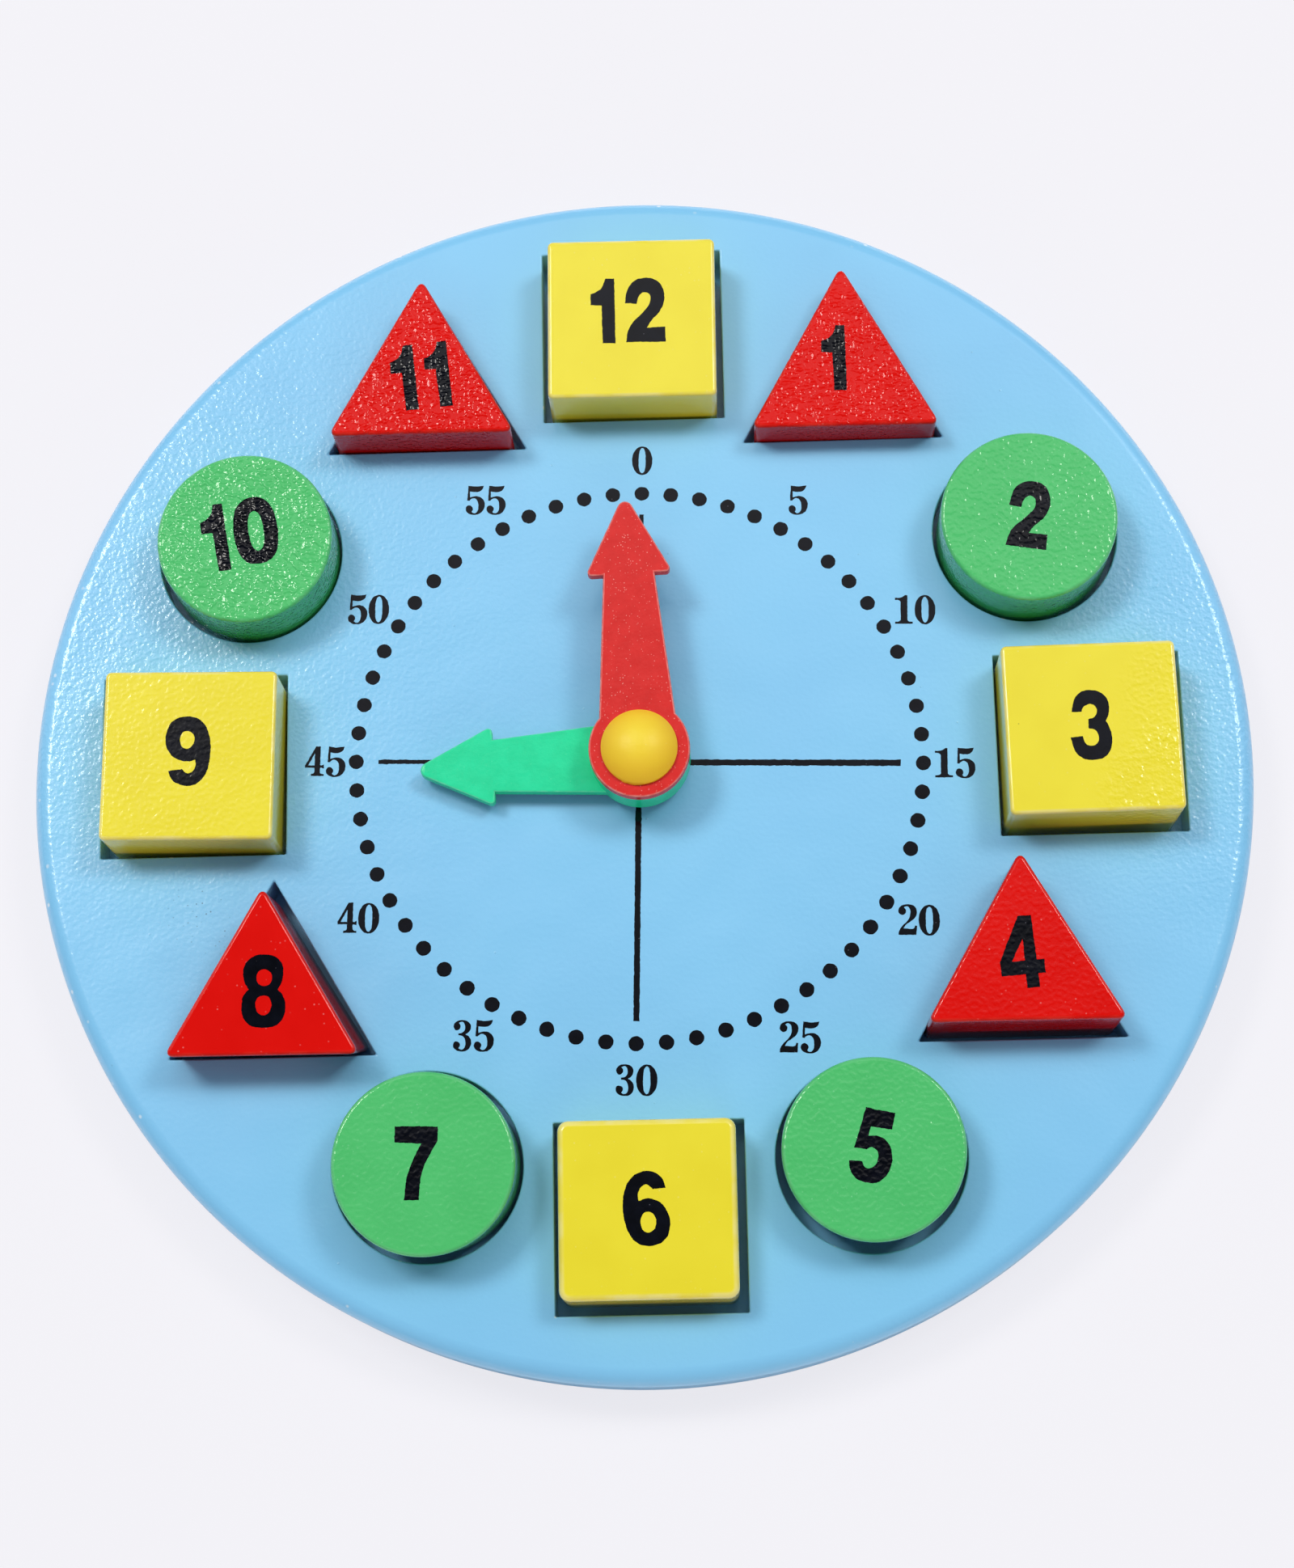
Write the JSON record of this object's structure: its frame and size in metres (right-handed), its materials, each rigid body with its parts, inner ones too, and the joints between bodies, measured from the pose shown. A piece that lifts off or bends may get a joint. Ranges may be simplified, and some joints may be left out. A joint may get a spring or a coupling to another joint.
{
  "type": "wooden learning clock",
  "caption": "Round painted wooden learning clock: numbered square, triangular and round blocks lift out of shaped seats, and arrow hands turn on a capped pin.",
  "frame": {"origin": "on the axis of the hands' pin, in the plane that the board's flat back lies on", "axes": "+Z out of the dial, +Y towards the block numbered twelve, +X towards the block numbered three"},
  "size_m": [0.2354, 0.2354, 0.0311],
  "materials": {
    "board_paint": "sky-blue satin paint on wood board",
    "yellow_block_paint": "yellow satin paint on wood",
    "red_block_paint": "red satin paint on wood",
    "green_block_paint": "green satin paint on wood",
    "green_hand_plastic": "moulded, satin",
    "red_hand_plastic": "moulded, satin with light speckle",
    "yellow_cap_plastic": "moulded, glossy",
    "washer_steel": "plain zinc-plated"
  },
  "bodies": {
    "board": {"backing_board": "board_paint", "face_board": "board_paint", "capped_pin": "yellow_cap_plastic", "back_washer": "washer_steel"},
    "hour_hand": {"hour_hand": "green_hand_plastic"},
    "minute_hand": {"minute_hand": "red_hand_plastic"},
    "block_12": {"square_block_12": "yellow_block_paint"},
    "block_1": {"triangle_block_1": "red_block_paint"},
    "block_2": {"round_block_2": "green_block_paint"},
    "block_3": {"square_block_3": "yellow_block_paint"},
    "block_4": {"triangle_block_4": "red_block_paint"},
    "block_5": {"round_block_5": "green_block_paint"},
    "block_6": {"square_block_6": "yellow_block_paint"},
    "block_7": {"round_block_7": "green_block_paint"},
    "block_8": {"triangle_block_8": "red_block_paint"},
    "block_9": {"square_block_9": "yellow_block_paint"},
    "block_10": {"round_block_10": "green_block_paint"},
    "block_11": {"triangle_block_11": "red_block_paint"}
  },
  "joints": [
    {"name": "hour_hand_turn", "type": "hinge", "parent": "board", "child": "hour_hand", "pos_m": [0, 0, 0.0191], "axis": [0, 0, 1], "continuous": true},
    {"name": "minute_hand_turn", "type": "hinge", "parent": "board", "child": "minute_hand", "pos_m": [0, 0, 0.0257], "axis": [0, 0, 1], "continuous": true},
    {"name": "block_12_lift", "type": "slide", "parent": "board", "child": "block_12", "axis": [0, 0, 1], "range_m": [0, 0.03]},
    {"name": "block_1_lift", "type": "slide", "parent": "board", "child": "block_1", "axis": [0, 0, 1], "range_m": [0, 0.03]},
    {"name": "block_2_lift", "type": "slide", "parent": "board", "child": "block_2", "axis": [0, 0, 1], "range_m": [0, 0.03]},
    {"name": "block_3_lift", "type": "slide", "parent": "board", "child": "block_3", "axis": [0, 0, 1], "range_m": [0, 0.03]},
    {"name": "block_4_lift", "type": "slide", "parent": "board", "child": "block_4", "axis": [0, 0, 1], "range_m": [0, 0.03]},
    {"name": "block_5_lift", "type": "slide", "parent": "board", "child": "block_5", "axis": [0, 0, 1], "range_m": [0, 0.03]},
    {"name": "block_6_lift", "type": "slide", "parent": "board", "child": "block_6", "axis": [0, 0, 1], "range_m": [0, 0.03]},
    {"name": "block_7_lift", "type": "slide", "parent": "board", "child": "block_7", "axis": [0, 0, 1], "range_m": [0, 0.03]},
    {"name": "block_8_lift", "type": "slide", "parent": "board", "child": "block_8", "axis": [0, 0, 1], "range_m": [0, 0.03]},
    {"name": "block_9_lift", "type": "slide", "parent": "board", "child": "block_9", "axis": [0, 0, 1], "range_m": [0, 0.03]},
    {"name": "block_10_lift", "type": "slide", "parent": "board", "child": "block_10", "axis": [0, 0, 1], "range_m": [0, 0.03]},
    {"name": "block_11_lift", "type": "slide", "parent": "board", "child": "block_11", "axis": [0, 0, 1], "range_m": [0, 0.03]}
  ]
}
